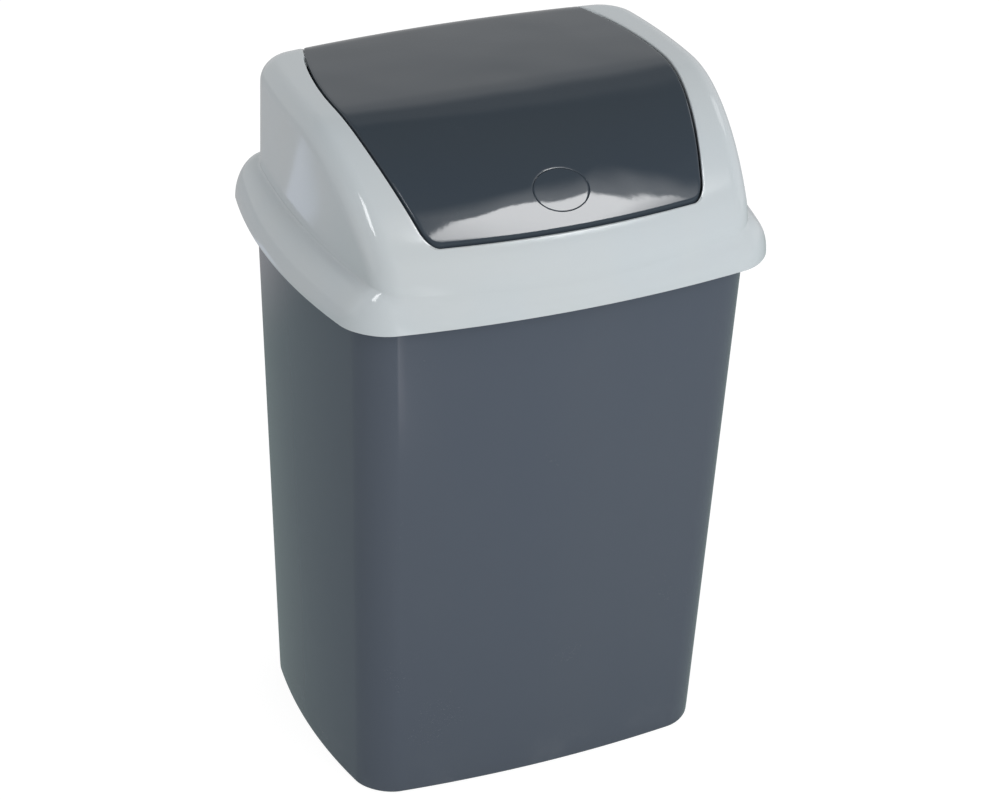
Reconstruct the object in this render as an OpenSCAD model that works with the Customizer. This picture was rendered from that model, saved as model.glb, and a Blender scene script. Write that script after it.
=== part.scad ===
// Countertop swing bin: a tapered body, a domed lid and a flap that swings in the lid's mouth.
// Millimetres. The bin stands on z = 0, its front faces -Y, and +X is to the right.

/* [Body] */
// Height of the body, to the top of its rim
body_h = 300; // [270:1:330]
// Width across the body's foot
foot_w = 206.4; // [196:0.2:216]
// Depth across the body's foot
foot_d = 155.4; // [147:0.2:163]
// Slope of the body's walls away from upright, in degrees
body_draft = 1.75; // [1.4:0.05:2.1]
// Radius of the body's upright corners
body_corner = 17; // [12:0.5:24]
// How far the side walls swell past their corners
side_swell = 8; // [5:0.5:10]
// How far the front and back walls swell past their corners
front_swell = 6.5; // [4:0.5:8.5]
// Wall thickness of the body
body_wall = 1.8; // [1.4:0.1:2.6]
// Thickness of the body's floor
floor_t = 2.2; // [1.6:0.1:3.5]
// Height of the foot ring under the floor
foot_ring_h = 4; // [2:0.5:8]
// Width of the foot ring
foot_ring_w = 5; // [4:0.5:8]
// How far the rolled rim stands out from the wall
rim_out = 3.2; // [2.4:0.1:4]
// Depth of the rolled rim
rim_deep = 5; // [4:0.5:8]

/* [Lid skirt] */
// Room between the rim and the inside of the skirt's lower edge
skirt_room = 6; // [5:0.25:8]
// How far the skirt hangs below the top of the rim
skirt_drop = 10; // [7:0.5:13]
// Wall thickness of the lid
lid_wall = 2.2; // [1.8:0.1:2.8]
// Radius of the skirt's upright corners
skirt_corner = 19; // [15:0.5:24]
// How far the skirt's sides swell past their corners
skirt_side_swell = 12.2; // [10:0.2:14]
// How far the skirt's front and back swell past their corners
skirt_front_swell = 10.2; // [8:0.1:11]
// Height of the rounded shoulder over the skirt's lower edge
shoulder_h = 20.8; // [19:0.2:23]
// How far the shoulder reaches in before it is level
shoulder_in = 16.25; // [15.5:0.25:20]

/* [Lid hood] */
// Height of the hood's top over the top of the rim
hood_h = 69.4; // [64:0.2:75]
// How far the hood's sides are set in from the skirt's lower edge
hood_inset = 14.4; // [13:0.1:15.4]
// How far the hood's back is set in from the skirt's lower edge
back_inset = 13.4; // [12.4:0.1:15.4]
// Plan radius of the hood's swelling sides
hood_side_r = 440; // [380:5:520]
// Plan radius of the hood's swelling back
hood_back_r = 730; // [600:5:900]
// Slope of the hood's sides away from upright, in degrees
hood_draft = 0.4; // [0.2:0.1:1.4]
// Radius of the hood's upright back corners
hood_corner = 18; // [14:0.5:20]
// Radius round the hood's top and front edges
hood_edge = 10; // [7:0.25:11]
// Radius in the crease between hood and shoulder
crease_r = 2.5; // [1.5:0.25:4]
// Radius of the gentle crown along the top
top_r = 1750; // [1400:10:2400]
// Radius of the brow, where the top turns down to the front
brow_r = 95; // [90:0.5:100]
// Angle that the brow turns through
brow_turn = 17.2; // [16:0.2:19]
// Radius of the front face
face_r = 142; // [134:0.5:150]
// Angle from level at which the front face ends
face_turn = 47.25; // [45.5:0.25:48.5]
// Radius of the chin, under the mouth
chin_r = 29; // [26:0.5:33]
// How much deeper the front is at its middle than at the flap's corners, as a share
front_crown = 0.08; // [0.06:0.005:0.095]
// How much deeper the back of the mouth is at its middle than at its corners, as a share
back_crown = 0.04; // [0.03:0.005:0.05]

/* [Mouth and flap] */
// Width of the mouth at its widest
mouth_w = 180.6; // [176:0.2:184]
// Plan radius of the mouth's swelling sides
mouth_side_r = 243; // [230:1:260]
// Distance from the hood's middle to the mouth's front edge
mouth_front = 87.8; // [87:0.1:89]
// Distance from the hood's back to the mouth's back edge
mouth_back_land = 1.7; // [1.4:0.1:2.2]
// Corner radius of the mouth
mouth_corner = 7; // [5:0.5:10]
// Depth of the lip turned down at the mouth's front
lip_deep = 9; // [8:0.5:11]
// Depth of the cheeks beside the flap's axles
cheek_deep = 30; // [29:0.5:33]
// Gap all round the flap
flap_gap = 1.3; // [1.1:0.1:2]
// Wall thickness of the flap
flap_wall = 2.2; // [1.8:0.1:2.6]
// Depth of the flange round the flap
flange_deep = 8; // [7:0.5:9]
// Distance of the axles in front of the hood's middle
axle_front = 14; // [11:0.5:17]
// Depth of the axles' line below the hood's top
axle_below = 9.4; // [8.4:0.2:10.4]
// Diameter of the flap's stub axles
axle_d = 7; // [5:0.25:8]
// Clearance round each axle in its socket
axle_clear = 0.1; // [0.05:0.01:0.1]
// Length of each axle past the flap's ear
axle_len = 6.5; // [5.5:0.25:7.5]
// How far the flap swings before it meets its stops, in degrees
swing = 65; // [55:1:70]
// Width of the oval disc in the flap
disc_w = 29; // [24:0.5:31]
// Height of the oval disc, along the flap's slope
disc_h = 23.2; // [20:0.2:25]
// Thickness of the disc at its middle
disc_t = 1.8; // [1.6:0.1:2.2]
// Hairline gap round the disc
disc_gap = 0.12; // [0.08:0.01:0.2]
// Distance of the disc's centre in front of the hood's middle
disc_front = 71.7; // [66:0.1:73]

/* [Hidden] */

slate = [0.335, 0.365, 0.4];
pale = [0.8, 0.825, 0.84];
dark = [0.25, 0.27, 0.3];

// stations on a quarter of every outline: half a side, a corner, half a front
side_n = 4;
corner_n = 6;
front_n = 6;
quarter_n = side_n + corner_n + front_n;
ring_n = 4 * quarter_n;
wall_steps = 20;
seek_steps = 14;
round_fn = 48;

// body
rim_z = body_h;
foot_edge = 2;
inner_fillet = 4;
body_rise = tan(body_draft);
rim_reach = body_h * body_rise + rim_out;

// skirt, sized by the rim it goes over
skirt_extra = 1.4;
crease_rise = 16;
skirt_z = body_h - skirt_drop;
skirt_a = foot_w / 2 + rim_reach + skirt_room + lid_wall;
skirt_b = foot_d / 2 + rim_reach + skirt_room + lid_wall + skirt_extra;

// hood
top_z = body_h + hood_h;
side_x = skirt_a - hood_inset;
back_y = skirt_b - back_inset;
side_centre = 4;
hood_lean = tan(hood_draft);
lean_z = skirt_z + 40;
eye_z = body_h;
brow_c = [0.5, top_z - brow_r];
face_c = brow_c + (brow_r - face_r) * [-sin(brow_turn), cos(brow_turn)];
chin_c = face_c + (face_r - chin_r) * [-sin(face_turn), cos(face_turn)];
crown_x = 75;

// mouth, in the hood's middle plane before the crown bends it
mouth_a = mouth_w / 2;
mouth_back = back_y - mouth_back_land;
mouth_b = (mouth_front + mouth_back) / 2;
mouth_y = (mouth_back - mouth_front) / 2;
barrel_y = 2;

// pivot
axle_y = -axle_front;
axle_z = top_z - axle_below;
axle_r = axle_d / 2;
ear_r = axle_r + 3.5;
boss_r = axle_r + 4;
ear_face = mouth_half(axle_y - ear_r) - flap_gap;
boss_len = 4;
washer_r = axle_r + 1.5;
washer_face = mouth_half(axle_y - washer_r) - 0.3;

// stops
peg_r = 2;
peg_play = 0.6;
edge_back = 15.5;
edge_pt = [-edge_back, flap_top(ear_face, axle_y - edge_back) - flange_deep - axle_z];
peg_turn = atan2(edge_pt[1], edge_pt[0]) + swing + asin((peg_r + peg_play) / norm(edge_pt));
peg_at = [axle_y, axle_z] + norm(edge_pt) * [cos(peg_turn), sin(peg_turn)];

// disc, square to the front face at its centre
disc_y = -disc_front;
disc_tilt = asin((face_c[0] - disc_y) / face_r);
disc_at = [0, disc_y, face_c[1] + face_r * cos(disc_tilt)];
disc_axis = [0, -sin(disc_tilt), cos(disc_tilt)];
disc_n = 64;
seat_t = 1.2;
seat_land = 2;
seat_gap = 0.01;

// the disc's oval, in its own plane, grown by a margin all round
function disc_oval(grow) = [for (k = [0:disc_n - 1]) let (t = -360 * k / disc_n)
    [(disc_w / 2 + grow) * sin(t), (disc_h / 2 + grow) * cos(t)]];

// ---- outlines ----

// a quarter of a rounded rectangle, from the middle of its side to the middle of its front
function quarter(a, b, r) = [
    for (j = [0:side_n - 1]) [a, (b - r) * j / side_n],
    for (j = [0:corner_n]) [a - r + r * cos(90 * j / corner_n), b - r + r * sin(90 * j / corner_n)],
    for (j = [1:front_n]) [(a - r) * (1 - j / front_n), b]
];

// the whole outline, anticlockwise from the middle of the right side
function outline(a, b, r) = let (q = quarter(a, b, r), n = quarter_n) [
    for (k = [0:n - 1]) q[k],
    for (k = [0:n - 1]) [-q[n - k][0], q[n - k][1]],
    for (k = [0:n - 1]) -q[k],
    for (k = [0:n - 1]) [q[n - k][0], -q[n - k][1]]
];

// an outline whose sides and fronts swell in the middle
function swollen(a, b, r, side, front) = [
    for (p = outline(a, b, r))
        [p[0] - side * p[0] / a * pow(p[1] / b, 2), p[1] - front * p[1] / b * pow(p[0] / a, 2)]
];

// the body's outline, grown by o: the corners keep their radius up the wall, and grow with the rim
function body_outline(o) =
    swollen(foot_w / 2 + o, foot_d / 2 + o, max(body_corner + min(o, 0) / 2, 2) + max(o - body_h * body_rise, 0),
        side_swell, front_swell);

// half the mouth's width at a depth
function mouth_half(y) = mouth_a - pow(y - barrel_y, 2) / (2 * mouth_side_r);

// the depth in the middle plane that a point belongs to, and back again
function crown(x, y) = 1 + (y < 0 ? front_crown : back_crown) * pow(x / crown_x, 2);

// the mouth's outline, shrunk by g
function mouth_outline(g) = [
    for (p = outline(mouth_a - g, mouth_b - g, max(mouth_corner - g, 1)))
        let (y0 = p[1] + mouth_y,
             x = p[0] - sign(p[0]) * abs(p[0]) / (mouth_a - g) * pow(y0 - barrel_y, 2) / (2 * mouth_side_r))
        [x, y0 / crown(x, y0)]
];

// ---- the lid's outer surface, as a distance that is 0 on it and negative inside ----

function meet(a, b, r) = min(max(a, b), -r) + norm([max(a + r, 0), max(b + r, 0)]);
function join(a, b, r) = -meet(-a, -b, r);
function turn_at(c, y, z) = atan2(c[0] - y, z - c[1]);

function profile_d(y, z) =
    y > brow_c[0] ? z - top_z + pow(y - brow_c[0], 2) / (2 * top_r) :
    turn_at(brow_c, y, z) < brow_turn ? norm([y, z] - brow_c) - brow_r :
    turn_at(face_c, y, z) < face_turn ? norm([y, z] - face_c) - face_r :
    z < chin_c[1] ? chin_c[0] - y - chin_r : norm([y, z] - chin_c) - chin_r;

function hood_d(x, y, z) =
    let (lean = hood_lean * (z - lean_z),
         side = abs(x) - side_x + pow(y - side_centre, 2) / (2 * hood_side_r) + lean,
         back = y - back_y + x * x / (2 * hood_back_r) + lean / 2)
    meet(meet(side, back, hood_corner), profile_d(y * crown(x, y), z), hood_edge);

function shoulder_o(z) = shoulder_in * (1 - sqrt(1 - pow(min(max((z - skirt_z) / shoulder_h, 0), 1), 2)));

// a point's place before its outline swelled, by going round n times
function unswell(x, y, u, v, n) =
    n == 0 ? [u, v] :
    unswell(x, y, x / (1 - skirt_side_swell / skirt_a * pow(min(v / skirt_b, 1), 2)),
        y / (1 - skirt_front_swell / skirt_b * pow(min(u / skirt_a, 1), 2)), n - 1);

function skirt_d(x, y, z) =
    let (f = unswell(abs(x), abs(y), abs(x), abs(y), 4),
         p = f[0] - skirt_a + skirt_corner,
         q = f[1] - skirt_b + skirt_corner,
         flat = min(max(p, q), 0) + norm([max(p, 0), max(q, 0)]) - skirt_corner)
    max(0.9 * (flat + shoulder_o(z)), z - skirt_z - shoulder_h);

// the crease's radius grows up from the skirt's edge, so that edge keeps its outline
function crease_at(z) = crease_r * min(max((z - skirt_z) / crease_rise, 0.05), 1);
function lid_d(x, y, z) = join(skirt_d(x, y, z), hood_d(x, y, z), crease_at(z));

// height of the hood's surface over a point, at a depth below the surface
function hood_z(x, y, deep, lo, hi, n) =
    n == 0 ? (lo + hi) / 2 :
    let (m = (lo + hi) / 2)
    hood_d(x, y, m) > -deep ? hood_z(x, y, deep, lo, m, n - 1) : hood_z(x, y, deep, m, hi, n - 1);
function flap_top(x, y, deep = 0) = hood_z(x, y, deep, body_h + 5, top_z + 5, seek_steps);

// where a ray from the lid's inside meets the surface, at a depth below it
function reach(d, deep, lo, hi, n) =
    n == 0 ? (lo + hi) / 2 :
    let (m = (lo + hi) / 2, p = m * d)
    lid_d(p[0], p[1], p[2] + eye_z) > -deep ? reach(d, deep, lo, m, n - 1) : reach(d, deep, m, hi, n - 1);
function on_lid(p, deep) =
    let (d = (p - [0, 0, eye_z]) / norm(p - [0, 0, eye_z]))
    [0, 0, eye_z] + reach(d, deep, 40, 180, seek_steps) * d;

// ---- meshes ----

// faces of a stack of rings, each with n points, closed by fans to a first and a last point
function stack_faces(rings, n) = [
    for (k = [0:n - 1]) [0, 1 + k, 1 + (k + 1) % n],
    for (r = [0:rings - 2], k = [0:n - 1]) let (a = 1 + r * n + k, b = 1 + r * n + (k + 1) % n)
        each [[a, b + n, b], [a, a + n, b + n]],
    for (k = [0:n - 1]) let (top = 1 + (rings - 1) * n) [top + (k + 1) % n, top + k, rings * n + 1]
];

// a solid from rings that run from a first point out and back to a last point
module stack(first, rings, last) {
    n = len(rings[0]);
    polyhedron([first, each [for (r = rings) each r], last], stack_faces(len(rings), n));
}

// a closed band: every station holds the same number of points, round its section
module band(stations) {
    n = len(stations);
    m = len(stations[0]);
    polyhedron(
        [for (s = stations) each s],
        [for (i = [0:n - 1], j = [0:m - 1])
            let (a = i * m + j, b = i * m + (j + 1) % m,
                 c = (i + 1) % n * m + (j + 1) % m, d = (i + 1) % n * m + j)
            each [[a, b, c], [a, c, d]]]);
}

function lifted(points, z) = [for (p = points) [p[0], p[1], z]];

// ---- body ----

module bin_body() {
    floor_z = foot_ring_h + floor_t;
    under_rim = rim_z - rim_deep;
    bead = rim_out / 2;
    function wall_at(z) = z * body_rise;
    outer = [
        [-foot_ring_w, foot_ring_h], [-foot_ring_w, 0.8], [-foot_ring_w + 0.8, 0],
        for (t = [0:30:90]) [-foot_edge + foot_edge * sin(t), foot_edge - foot_edge * cos(t)],
        for (k = [1:7]) let (z = foot_edge + (under_rim - foot_edge) * k / 7) [wall_at(z), z],
        for (t = [-90:30:0]) [wall_at(rim_z) + bead + bead * cos(t), under_rim + bead + bead * sin(t)],
        for (t = [0:30:90]) [wall_at(rim_z) + bead + bead * cos(t), rim_z - bead + bead * sin(t)]
    ];
    inner = [
        [wall_at(rim_z) - body_wall + 0.6, rim_z], [wall_at(rim_z) - body_wall, rim_z - 0.6],
        for (k = [1:6]) let (z = rim_z - (rim_z - floor_z - inner_fillet) * k / 6)
            [wall_at(z) - body_wall, z],
        for (t = [30:30:90])
            [wall_at(floor_z) - body_wall - inner_fillet * (1 - cos(t)), floor_z + inner_fillet * (1 - sin(t))]
    ];
    color(slate)
        stack([0, 0, foot_ring_h],
              [for (s = concat(outer, inner)) lifted(body_outline(s[0]), s[1])],
              [0, 0, floor_z]);
}

// ---- lid ----

// how much of the mouth's turned-down lip a depth has: all in front, none at the back
function lip_share(y) = 1 - min(max((y - 45) / 20, 0), 1);
function lip_at(y) =
    lip_share(y) * (lip_deep + (cheek_deep - lip_deep) * max(0, 1 - pow((y - axle_y) / 32, 2)));

module hood_shell() {
    foot = lifted(swollen(skirt_a, skirt_b, skirt_corner, skirt_side_swell, skirt_front_swell), skirt_z);
    edge = [for (p = mouth_outline(0)) [p[0], p[1], flap_top(p[0], p[1])]];
    past = mouth_outline(-lid_wall);
    stations = [
        for (i = [0:ring_n - 1])
            let (s = foot[i], e = edge[i], w = lip_share(e[1]), drop = [0, 0, lip_at(e[1])],
                 square_in = on_lid(e, lid_wall),
                 over = [past[i][0], past[i][1], w > 0 ? flap_top(past[i][0], past[i][1], lid_wall) : 0],
                 under = w > 0 ? w * over + (1 - w) * square_in : square_in,
                 out = under - e)
            [
                for (k = [0:wall_steps]) k == 0 ? s : k == wall_steps ? e :
                    on_lid(s + (e - s) * k / wall_steps, 0),
                e + (1 - w) * out / 3 - drop,
                e + (1 - w) * 2 * out / 3 + w * [out[0], out[1], 0] - drop,
                for (k = [wall_steps:-1:0]) k == wall_steps ? under :
                    on_lid(s + (under - s) * k / wall_steps, lid_wall)
            ]
    ];
    band(stations);
}

// ribs that hang inside the lid, sit on the rim and keep the lid centred with their fingers
rib_t = 2;
rib_reach = 3;
rib_grip = 6;
rib_deep = 4;
finger_deep = 8;
finger_t = 2.5;
finger_gap = 0.6;
rib_side_y = 38;
rib_front_x = 58;

function wall_x(o, y) = foot_w / 2 + o - side_swell * pow(y / (foot_d / 2 + o), 2);
function wall_y(o, x) = foot_d / 2 + o - front_swell * pow(x / (foot_w / 2 + o), 2);

// the end of a rib that sits on the rim, whose inner face at the finger's tip is given
function rib_foot(inside) = [
    [inside - finger_gap - finger_t, rim_z - finger_deep], [inside - finger_gap, rim_z - finger_deep],
    [inside - finger_gap, rim_z], [inside + rib_reach, rim_z], [inside + rib_reach, rim_z + 2.5]
];

// a rib beside the crease: its neck stays clear of it, and its grip is in the hood's wall
module side_rib(inside, face) {
    neck = face - lid_wall - 1;
    grip_z = skirt_z + shoulder_h + 4;
    linear_extrude(rib_t) polygon([
        each rib_foot(inside),
        [neck, rim_z + 5], [neck, grip_z - 1],
        [face - lid_wall / 2, grip_z], [face - lid_wall / 2, grip_z + rib_grip],
        [neck - rib_deep, grip_z + 1], [neck - rib_deep, rim_z - 2]
    ]);
}

// a rib under the front, whose grip is in the chin
module front_rib(inside, face) {
    linear_extrude(rib_t) polygon([
        each rib_foot(inside),
        [face - lid_wall / 2, rim_z + 4], [face - lid_wall / 2, rim_z + 4 + rib_grip],
        [inside - finger_gap - finger_t, rim_z + 6]
    ]);
}

module seat_ribs() {
    inner = (body_h - finger_deep) * body_rise - body_wall;
    hood_x = side_x - pow(rib_side_y + side_centre, 2) / (2 * hood_side_r);
    for (sx = [-1, 1], sy = [-1, 1])
        scale([sx, 1, 1]) translate([0, sy * rib_side_y + rib_t / 2, 0]) rotate([90, 0, 0])
            side_rib(wall_x(inner, rib_side_y + rib_t), hood_x);
    back_face = back_y - pow(rib_front_x, 2) / (2 * hood_back_r);
    front_face = (chin_r - chin_c[0]) / crown(rib_front_x, -1);
    for (sx = [-1, 1]) {
        translate([sx * rib_front_x - rib_t / 2, 0, 0]) rotate([90, 0, 90])
            side_rib(wall_y(inner, rib_front_x + rib_t), back_face);
        translate([sx * rib_front_x + rib_t / 2, 0, 0]) rotate([90, 0, -90])
            front_rib(wall_y(inner, rib_front_x + rib_t), front_face);
    }
}

// ledges on the back wall that the closed flap's rear flange rests on
ledge_x = 38;
ledge_w = 16;
ledge_in = 8;
ledge_t = 2.5;
rear_flange = 4;
ledge_gap = 0.3;

module rest_ledges() {
    wall = back_y - ledge_x * ledge_x / (2 * hood_back_r) - lid_wall / 2 - 1;
    y = mouth_back - flap_gap;
    z = flap_top(ledge_x, y / crown(ledge_x, y)) - rear_flange - ledge_gap;
    for (sx = [-1, 1])
        translate([sx * ledge_x - ledge_w / 2, wall - ledge_in, z - ledge_t]) cube([ledge_w, ledge_in, ledge_t]);
}

module lid_hood() {
    cheek_x = mouth_half(axle_y);
    color(pale) difference() {
        union() {
            hood_shell();
            seat_ribs();
            rest_ledges();
            for (sx = [-1, 1]) scale([sx, 1, 1]) {
                translate([cheek_x + lid_wall - 1, axle_y, axle_z]) rotate([0, 90, 0])
                    cylinder(r = boss_r, h = boss_len, $fn = round_fn);
                translate([ear_face - flap_wall - 1, peg_at[0], peg_at[1]]) rotate([0, 90, 0])
                    cylinder(r = peg_r, h = cheek_x - ear_face + flap_wall + 2, $fn = round_fn);
            }
        }
        for (sx = [-1, 1]) scale([sx, 1, 1])
            translate([cheek_x - 2, axle_y, axle_z]) rotate([0, 90, 0])
                cylinder(r = axle_r + axle_clear, h = lid_wall + boss_len + 4, $fn = round_fn);
    }
}

// ---- flap ----

function flange_at(y) = let (s = lip_share(y)) s * flange_deep + (1 - s) * rear_flange;

module flap_shell() {
    rim = mouth_outline(flap_gap);
    tuck = mouth_outline(flap_gap + flap_wall);
    rings = 7;
    function spread(points, k, deep) = [
        for (p = points) let (x = p[0] * k / rings, y = p[1] * k / rings) [x, y, flap_top(x, y, deep)]
    ];
    top_edge = spread(rim, rings, 0);
    foot = [for (i = [0:ring_n - 1]) top_edge[i] - [0, 0, flange_at(rim[i][1])]];
    stack([0, 0, flap_top(0, 0, flap_wall)],
        concat(
            [for (k = [1:rings]) spread(tuck, k, flap_wall)],
            [[for (i = [0:ring_n - 1]) [tuck[i][0], tuck[i][1], foot[i][2]]]],
            [foot],
            [for (k = [rings:-1:1]) spread(rim, k, 0)]),
        [0, 0, flap_top(0, 0)]);
}

// two stiffening ribs along the flap's underside
flap_rib_x = 34;
flap_rib_t = 1.6;
flap_rib_deep = 5;

module flap_ribs() {
    front = -mouth_front / crown(flap_rib_x, -1) + flap_gap + flap_wall / 2;
    back = mouth_back / crown(flap_rib_x, 1) - flap_gap - flap_wall / 2;
    steps = 16;
    spine = [for (k = [0:steps]) let (y = front + (back - front) * k / steps)
        [y, flap_top(flap_rib_x, y, flap_wall / 2)]];
    for (sx = [-1, 1])
        translate([sx * flap_rib_x - flap_rib_t / 2, 0, 0]) rotate([90, 0, 90])
            linear_extrude(flap_rib_t)
                polygon([each spine, for (k = [steps:-1:0])
                    spine[k] - [0, flap_wall / 2 + (k == 0 || k == steps ? 1 : flap_rib_deep)]]);
}

module swing_flap() {
    color(dark) difference() {
        union() {
            flap_shell();
            flap_ribs();
            for (sx = [-1, 1]) scale([sx, 1, 1]) translate([0, axle_y, axle_z]) rotate([0, 90, 0]) {
                translate([0, 0, ear_face - flap_wall]) cylinder(r = ear_r, h = flap_wall, $fn = round_fn);
                translate([0, 0, ear_face - 1])
                    cylinder(r = washer_r, h = washer_face - ear_face + 1, $fn = round_fn);
                translate([0, 0, ear_face - flap_wall])
                    cylinder(r = axle_r, h = flap_wall + axle_len, $fn = round_fn);
            }
            translate(disc_at) rotate([disc_tilt, 0, 0]) translate([0, 0, -disc_t - seat_t])
                linear_extrude(seat_t + 0.2) polygon(disc_oval(seat_land));
        }
        translate(disc_at) rotate([disc_tilt, 0, 0]) translate([0, 0, -disc_t])
            linear_extrude(disc_t + 5) polygon(disc_oval(disc_gap));
    }
}

// ---- disc ----

// the disc's top follows the flap's surface, and its underside is flat
module push_disc() {
    rings = 4;
    edge = disc_oval(0);
    function place(k, share) = let (p = edge[k] * share)
        disc_at + [p[0], p[1] * cos(disc_tilt), p[1] * sin(disc_tilt)];
    function rise(p, lo, hi, n) =
        n == 0 ? (lo + hi) / 2 :
        let (m = (lo + hi) / 2, q = p + m * disc_axis)
        hood_d(q[0], q[1], q[2]) > 0 ? rise(p, lo, m, n - 1) : rise(p, m, hi, n - 1);
    function skin(k, share) = let (p = place(k, share)) p + rise(p, -disc_t, disc_t, seek_steps) * disc_axis;
    down = (seat_gap - disc_t) * disc_axis;
    color(dark)
        stack(disc_at + down,
              concat([[for (k = [0:disc_n - 1]) place(k, 1) + down]],
                     [for (j = [rings:-1:1]) [for (k = [0:disc_n - 1]) skin(k, j / rings)]]),
              skin(0, 0));
}

bin_body();
lid_hood();
swing_flap();
push_disc();
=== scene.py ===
import math
import bmesh
import bpy
import numpy as np
from mathutils import Matrix, Vector


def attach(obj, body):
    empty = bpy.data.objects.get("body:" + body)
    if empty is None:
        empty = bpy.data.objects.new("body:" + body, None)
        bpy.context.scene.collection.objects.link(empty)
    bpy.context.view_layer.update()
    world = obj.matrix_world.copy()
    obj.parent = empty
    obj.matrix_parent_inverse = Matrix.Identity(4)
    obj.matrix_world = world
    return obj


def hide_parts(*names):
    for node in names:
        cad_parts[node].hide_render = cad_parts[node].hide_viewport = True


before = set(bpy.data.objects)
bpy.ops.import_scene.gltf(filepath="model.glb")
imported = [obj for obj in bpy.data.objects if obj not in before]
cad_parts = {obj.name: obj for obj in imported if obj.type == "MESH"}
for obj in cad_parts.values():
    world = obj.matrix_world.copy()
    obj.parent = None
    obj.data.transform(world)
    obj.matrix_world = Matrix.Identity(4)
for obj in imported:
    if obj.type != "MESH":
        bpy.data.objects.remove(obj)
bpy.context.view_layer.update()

mm = 0.001


class Wire:
    # a socket that can be used in sums
    def __init__(self, finish, socket):
        self.finish, self.socket = finish, socket

    def maths(self, operation, *values):
        return self.finish.node("ShaderNodeMath", {"operation": operation}, values)

    def __add__(self, other): return self.maths("ADD", self, other)
    def __radd__(self, other): return self.maths("ADD", other, self)
    def __sub__(self, other): return self.maths("SUBTRACT", self, other)
    def __rsub__(self, other): return self.maths("SUBTRACT", other, self)
    def __mul__(self, other): return self.maths("MULTIPLY", self, other)
    def __rmul__(self, other): return self.maths("MULTIPLY", other, self)
    def __truediv__(self, other): return self.maths("DIVIDE", self, other)
    def __rtruediv__(self, other): return self.maths("DIVIDE", other, self)
    def maximum(self, other): return self.maths("MAXIMUM", self, other)
    def positive(self): return self.maximum(0.0)
    def clamped(self): return self.maths("MINIMUM", self.positive(), 1.0)


class Finish:
    # a node tree that grows one node at a time
    def __init__(self, tree):
        self.tree = tree
        self.tree.nodes.clear()
        self.column = 0

    def node(self, kind, settings=None, sockets=None, out=0):
        made = self.tree.nodes.new(kind)
        made.location = (self.column * 180, -(self.column % 5) * 160)
        self.column += 1
        for key, value in (settings or {}).items():
            setattr(made, key, value)
        pairs = sockets.items() if isinstance(sockets, dict) else enumerate(sockets or ())
        for key, value in pairs:
            if isinstance(value, Wire):
                self.tree.links.new(value.socket, made.inputs[key])
            else:
                made.inputs[key].default_value = value
        return Wire(self, made.outputs[out]) if len(made.outputs) else None

    def mixColour(self, share, first, second):
        return self.node("ShaderNodeMix", {"data_type": "RGBA"}, {0: share, 6: first, 7: second}, out=2)

    def noise(self, where, scale, detail=2.0, rough=0.5):
        return self.node("ShaderNodeTexNoise", {}, {"Vector": where, "Scale": scale,
                         "Detail": detail, "Roughness": rough})

    def dotted(self, where, direction):
        return self.node("ShaderNodeVectorMath", {"operation": "DOT_PRODUCT"}, (where, direction), out=1)

    def stretched(self, where, factors):
        return self.node("ShaderNodeVectorMath", {"operation": "MULTIPLY"}, (where, factors))

    def ramp(self, value, low, high, first=0.0, last=1.0):
        return self.node("ShaderNodeMapRange", {"interpolation_type": "SMOOTHSTEP"},
                         {"Value": value, "From Min": low, "From Max": high,
                          "To Min": first, "To Max": last})


# what all the mouldings share: bands are the values of a noise between which a mark fades in
moulding = {
    "flowBand": (0.3, 0.7), "scratchStretch": (1.0, 1.0, 0.06), "scratchBand": (0.68, 0.8),
    "cloudScale": 22.0, "dustCloud": (0.52, 0.78), "dustScale": 1500.0, "dustBand": (0.58, 0.72),
    "dustRough": 0.25, "wearCloud": (0.45, 0.7), "wearRough": 0.3, "reliefUnit": 0.001,
}


def mouldedPlastic(name, look):
    # an injection-moulded plastic: sink marks, flow marks, orange peel, fine scratches and settled dust
    m = moulding
    material = bpy.data.materials.new(name)
    material.use_nodes = True
    f = Finish(material.node_tree)
    where = f.node("ShaderNodeTexCoord", out=3)
    height = f.node("ShaderNodeSeparateXYZ", {}, (where,), out=2)
    sink = f.noise(where, look["sinkScale"], 1.0, 0.4)
    flow = f.noise(f.stretched(where, look["flowStretch"]), look["flowScale"], 3.0, 0.55)
    peel = f.noise(where, look["peelScale"], 1.0, 0.4)
    grain = f.noise(where, look["grainScale"], 2.0, 0.6)
    scratch = f.noise(f.stretched(where, m["scratchStretch"]), look["scratchScale"], 2.0, 0.7)
    scratches = f.ramp(scratch, *m["scratchBand"])
    cloud = f.noise(where, m["cloudScale"], 4.0, 0.6)
    dust = f.ramp(cloud, *m["dustCloud"]) * f.ramp(f.noise(where, m["dustScale"], 1.0), *m["dustBand"])
    wear = f.ramp(height, look["wearTop"], 0.0) * f.ramp(cloud, *m["wearCloud"])
    colour = f.mixColour(f.ramp(flow, *m["flowBand"]), look["cool"], look["warm"])
    colour = f.mixColour(dust * look["dust"], colour, look["dustColour"])
    colour = f.mixColour(wear * look["wear"], colour, look["dustColour"])
    rough = look["roughness"] + (flow - 0.5) * look["roughDrift"] + scratches * look["scratchRough"]
    rough = (rough + dust * m["dustRough"] + wear * (look["wear"] * m["wearRough"])).clamped()
    relief = sink * look["sinkDeep"] + peel * look["peelDeep"] + grain * look["grainDeep"]
    relief = relief - scratches * look["scratchDeep"]
    bump = f.node("ShaderNodeBump", {}, {"Strength": 1.0, "Distance": m["reliefUnit"], "Height": relief})
    shader = f.node("ShaderNodeBsdfPrincipled", {}, {
        "Base Color": colour, "Roughness": rough, "Normal": bump, "IOR": look["ior"]})
    f.node("ShaderNodeOutputMaterial", {}, {"Surface": shader})
    return material


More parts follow.
